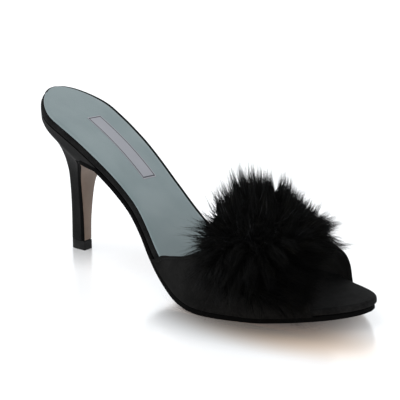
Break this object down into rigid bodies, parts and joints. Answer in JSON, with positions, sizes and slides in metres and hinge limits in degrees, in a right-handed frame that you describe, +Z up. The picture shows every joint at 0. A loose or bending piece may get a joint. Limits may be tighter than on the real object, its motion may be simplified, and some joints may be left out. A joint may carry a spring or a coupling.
{
  "type": "marabou slipper",
  "caption": "High heeled marabou mule for the right foot: peep toe suede vamp with a round fur pompom, wrapped footbed, sock lining, leather sole, covered heel.",
  "frame": {"origin": "middle of the shoe's bounding box at the floor that the heel tip and the forefoot stand on", "axes": "+X from the heel to the toe, +Y to the inner (big toe) side, +Z up"},
  "size_m": [0.223, 0.0866, 0.0964],
  "materials": {
    "suede": "matte black suede with a short nap",
    "sock_leather": "smooth pale grey leather with a soft sheen",
    "sole_leather": "smooth tan leather with a dark painted edge",
    "heel_tip": "hard matte black rubber",
    "fur": "soft black fur with fine pointed locks"
  },
  "bodies": {
    "root": {"outsole": "sole_leather", "footbed": "suede", "sock_lining": "sock_leather", "heel": "suede", "top_piece": "heel_tip", "upper": "suede", "pompom": "fur"}
  },
  "joints": []
}
